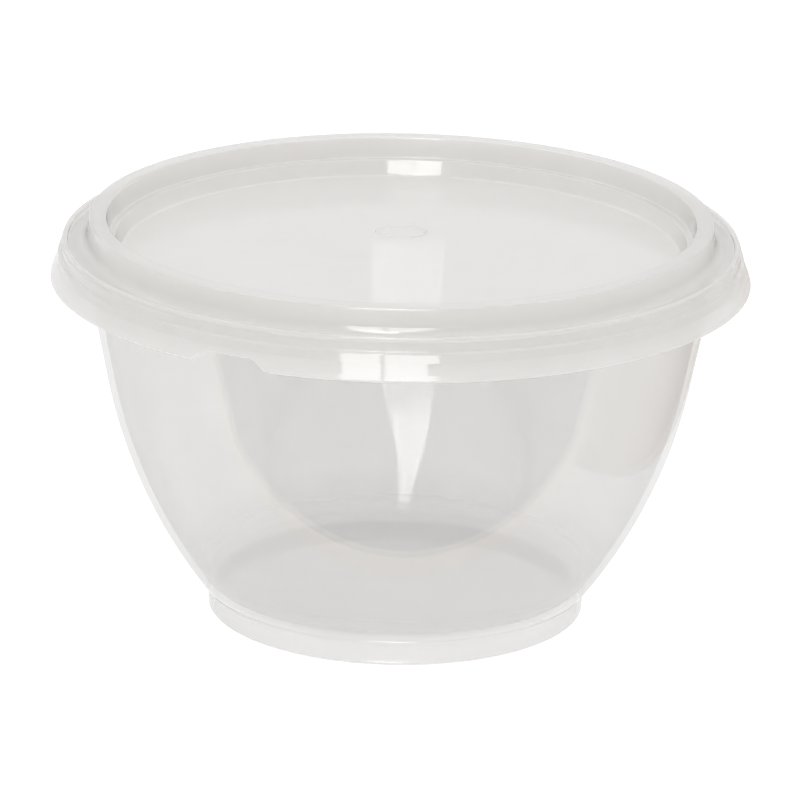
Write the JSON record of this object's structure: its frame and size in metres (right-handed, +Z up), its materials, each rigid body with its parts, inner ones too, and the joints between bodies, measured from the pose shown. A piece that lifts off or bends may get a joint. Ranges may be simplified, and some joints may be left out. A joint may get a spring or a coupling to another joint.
{
  "type": "go stone bowl",
  "caption": "Round translucent moulded plastic bowl on a foot ring, with a shallow sunk lid whose flared skirt drops over the rim, for keeping go stones.",
  "frame": {"origin": "on the bowl's axis, at the bottom of the foot ring", "axes": "+Z up along the axis of the bowl and lid, -Y towards the front; the lid's finger notch is 28 degrees round from -Y towards -X"},
  "size_m": [0.1298, 0.1298, 0.0755],
  "materials": {
    "bowl_plastic": "translucent milky polypropylene, softly glossy",
    "lid_plastic": "translucent milky polypropylene, softly glossy"
  },
  "bodies": {
    "bowl": {"bowl": "bowl_plastic"},
    "lid": {"lid": "lid_plastic"}
  },
  "joints": [
    {"name": "lid_lift", "type": "slide", "parent": "bowl", "child": "lid", "axis": [0, 0, 1], "range_m": [0, 0.06]}
  ]
}
